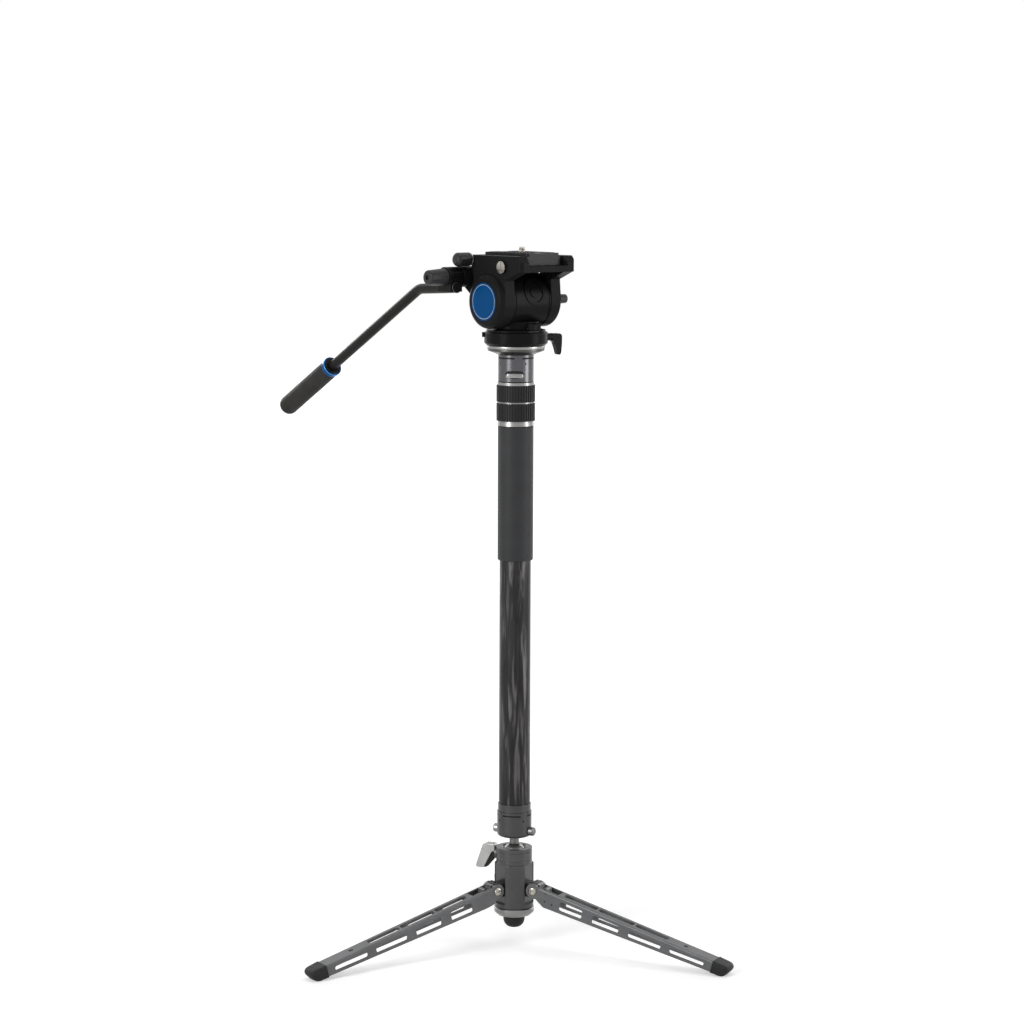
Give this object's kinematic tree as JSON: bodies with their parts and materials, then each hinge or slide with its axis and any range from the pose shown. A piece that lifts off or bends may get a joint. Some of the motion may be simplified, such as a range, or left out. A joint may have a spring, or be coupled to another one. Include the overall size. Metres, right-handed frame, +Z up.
{
  "type": "self-standing video monopod with fluid head",
  "caption": "Telescoping monopod column on a lockable ball joint with folding slotted feet, and a pan and tilt head with quick plate and bent pan handle.",
  "frame": {"origin": "on the column's axis, on the floor that the three rubber feet stand on", "axes": "+Z up along the column; the picture is taken from -Y, with +X to its right"},
  "size_m": [0.4854, 0.3883, 0.7275],
  "materials": {
    "black_casting": "satin black powder coat",
    "leg_paint": "satin black anodised channel",
    "black_collar": "black anodised",
    "silver": "turned and anodised aluminium",
    "collar_grey": "grey anodised aluminium",
    "steel": "bright steel",
    "rubber": "black rubber",
    "foam": "black foam sleeve",
    "carbon": "woven carbon fibre tube",
    "black_plastic": "black plastic",
    "slide_plastic": "low friction slide plastic",
    "magnesium": "fine textured black coat",
    "blue": "blank blue disc with a light rim",
    "blue_ring": "blue",
    "knob_grey": "dark grey plastic"
  },
  "bodies": {
    "base": {"base_housing": "black_casting", "base_ring": "silver", "centre_foot": "rubber", "centre_foot_screw": "steel", "ball_clamp_ring": "black_collar", "hinge_bolts": "steel"},
    "ball_lock": {"ball_lock_lever": "silver", "ball_lock_screw": "steel"},
    "ball_seat_body": {"ball_seat": "slide_plastic"},
    "ball": {"ball_stem": "steel"},
    "column": {"lower_collar": "black_collar", "collar_band": "black_plastic", "main_tube": "carbon", "grip_sleeve": "foam", "lower_lock_body": "black_collar", "lower_collet": "slide_plastic"},
    "release_left": {"release_button_left": "silver"},
    "release_right": {"release_button_right": "silver"},
    "lower_twist": {"lower_twist_ring": "silver", "lower_twist_grip": "rubber"},
    "middle_section": {"middle_tube": "carbon", "middle_bush": "slide_plastic", "upper_lock_body": "black_collar", "upper_collet": "slide_plastic"},
    "upper_twist": {"upper_twist_ring": "silver", "upper_twist_grip": "rubber"},
    "inner_section": {"inner_tube": "carbon", "inner_bush": "slide_plastic", "top_collar": "collar_grey", "head_flange": "silver", "pan_base": "magnesium"},
    "head_release": {"top_button": "silver"},
    "pan_lock": {"pan_lock_lever": "black_plastic"},
    "pan": {"pan_housing": "magnesium", "tilt_axle": "steel"},
    "cradle": {"tilt_cradle": "magnesium", "badge_disc": "blue"},
    "tilt_lock": {"tilt_lock_knob": "knob_grey"},
    "plate_safety": {"safety_button": "steel"},
    "plate_lock": {"plate_lock_knob": "knob_grey"},
    "plate": {"camera_plate": "black_collar"},
    "plate_screw": {"camera_screw": "steel"},
    "handle": {"handle_clamp": "black_plastic", "handle_bar": "black_casting", "handle_ring": "blue_ring", "handle_grip": "foam"},
    "handle_lock": {"handle_knob": "knob_grey"},
    "foot_back": {"leg_back": "leg_paint", "leg_foot_back": "rubber"},
    "latch_back": {"leg_latch_back": "black_plastic"},
    "foot_left": {"leg_left": "leg_paint", "leg_foot_left": "rubber"},
    "latch_left": {"leg_latch_left": "black_plastic"},
    "foot_right": {"leg_right": "leg_paint", "leg_foot_right": "rubber"},
    "latch_right": {"leg_latch_right": "black_plastic"}
  },
  "joints": [
    {"name": "leg_back_fold", "type": "hinge", "parent": "base", "child": "foot_back", "pos_m": [-0.00135, 0.02596, 0.0615], "axis": [-0.9986, -0.052, 0], "range_deg": [-98, 0]},
    {"name": "leg_back_latch", "type": "hinge", "parent": "foot_back", "child": "latch_back", "pos_m": [-0.00215, 0.04127, 0.06083], "axis": [-0.9986, -0.052, 0], "range_deg": [0, 12], "stiffness_Nm_per_rad": 0.05, "springref_deg": -1.15},
    {"name": "leg_left_fold", "type": "hinge", "parent": "base", "child": "foot_left", "pos_m": [-0.02181, -0.01415, 0.0615], "axis": [0.5443, -0.8389, 0], "range_deg": [-98, 0]},
    {"name": "leg_left_latch", "type": "hinge", "parent": "foot_left", "child": "latch_left", "pos_m": [-0.03466, -0.02249, 0.06083], "axis": [0.5443, -0.8389, 0], "range_deg": [0, 12], "stiffness_Nm_per_rad": 0.05, "springref_deg": -1.15},
    {"name": "leg_right_fold", "type": "hinge", "parent": "base", "child": "foot_right", "pos_m": [0.02316, -0.01181, 0.0615], "axis": [0.4543, 0.8908, 0], "range_deg": [-98, 0]},
    {"name": "leg_right_latch", "type": "hinge", "parent": "foot_right", "child": "latch_right", "pos_m": [0.03681, -0.01877, 0.06083], "axis": [0.4543, 0.8908, 0], "range_deg": [0, 12], "stiffness_Nm_per_rad": 0.05, "springref_deg": -1.15},
    {"name": "ball_lock_turn", "type": "hinge", "parent": "base", "child": "ball_lock", "pos_m": [-0.01871, 0.00954, 0.0952], "axis": [-0.8908, 0.4543, 0], "range_deg": [0, 75]},
    {"name": "ball_turn", "type": "hinge", "parent": "base", "child": "ball_seat_body", "pos_m": [0, 0, 0.097], "axis": [0, 0, 1], "continuous": true},
    {"name": "ball_tilt", "type": "hinge", "parent": "ball_seat_body", "child": "ball", "pos_m": [0, 0, 0.097], "axis": [0.4543, 0.8908, 0], "range_deg": [0, 25]},
    {"name": "column_turn", "type": "hinge", "parent": "ball", "child": "column", "pos_m": [0, 0, 0.125], "axis": [0, 0, 1], "continuous": true},
    {"name": "release_left_press", "type": "slide", "parent": "column", "child": "release_left", "axis": [0.9063, -0.4226, 0], "range_m": [0, 0.003], "stiffness_N_per_m": 400, "springref_m": -0.001},
    {"name": "release_right_press", "type": "slide", "parent": "column", "child": "release_right", "axis": [-0.9063, 0.4226, 0], "range_m": [0, 0.003], "stiffness_N_per_m": 400, "springref_m": -0.001},
    {"name": "lower_twist_turn", "type": "hinge", "parent": "column", "child": "lower_twist", "pos_m": [0, 0, 0.557], "axis": [0, 0, 1], "range_deg": [0, 120]},
    {"name": "middle_slide", "type": "slide", "parent": "column", "child": "middle_section", "axis": [0, 0, 1], "range_m": [0, 0.34]},
    {"name": "upper_twist_turn", "type": "hinge", "parent": "middle_section", "child": "upper_twist", "pos_m": [0, 0, 0.579], "axis": [0, 0, 1], "range_deg": [0, 120]},
    {"name": "inner_slide", "type": "slide", "parent": "middle_section", "child": "inner_section", "axis": [0, 0, 1], "range_m": [0, 0.34]},
    {"name": "head_release_press", "type": "slide", "parent": "inner_section", "child": "head_release", "axis": [0.0872, 0.9962, 0], "range_m": [0, 0.0014], "stiffness_N_per_m": 400, "springref_m": -0.001},
    {"name": "pan_lock_turn", "type": "hinge", "parent": "inner_section", "child": "pan_lock", "pos_m": [0.03724, 0.0215, 0.6348], "axis": [0.866, 0.5, 0], "range_deg": [0, 75]},
    {"name": "pan_turn", "type": "hinge", "parent": "inner_section", "child": "pan", "pos_m": [0, 0, 0.645], "axis": [0, 0, 1], "continuous": true},
    {"name": "tilt_turn", "type": "hinge", "parent": "pan", "child": "cradle", "pos_m": [0, 0, 0.6728], "axis": [-0.766, -0.6428, 0], "range_deg": [-60, 60]},
    {"name": "tilt_lock_turn", "type": "hinge", "parent": "pan", "child": "tilt_lock", "pos_m": [0.0383, 0.03214, 0.6728], "axis": [-0.766, -0.6428, 0], "range_deg": [0, 120]},
    {"name": "plate_safety_press", "type": "slide", "parent": "cradle", "child": "plate_safety", "axis": [0.766, 0.6428, 0], "range_m": [0, 0.0012], "stiffness_N_per_m": 400, "springref_m": -0.001},
    {"name": "plate_lock_turn", "type": "hinge", "parent": "cradle", "child": "plate_lock", "pos_m": [-0.05279, -0.00709, 0.7146], "axis": [-0.766, -0.6428, 0], "range_deg": [0, 120]},
    {"name": "plate_slide", "type": "slide", "parent": "cradle", "child": "plate", "axis": [0.6428, -0.766, 0], "range_m": [0, 0.03]},
    {"name": "plate_screw_turn", "type": "hinge", "parent": "plate", "child": "plate_screw", "pos_m": [0.00579, -0.00689, 0.7116], "axis": [0, 0, 1], "continuous": true},
    {"name": "handle_turn", "type": "hinge", "parent": "cradle", "child": "handle", "pos_m": [-0.06016, -0.00609, 0.697], "axis": [-0.766, -0.6428, 0], "range_deg": [-60, 45]},
    {"name": "handle_lock_turn", "type": "hinge", "parent": "cradle", "child": "handle_lock", "pos_m": [-0.08314, -0.02538, 0.697], "axis": [-0.766, -0.6428, 0], "range_deg": [0, 180]}
  ]
}
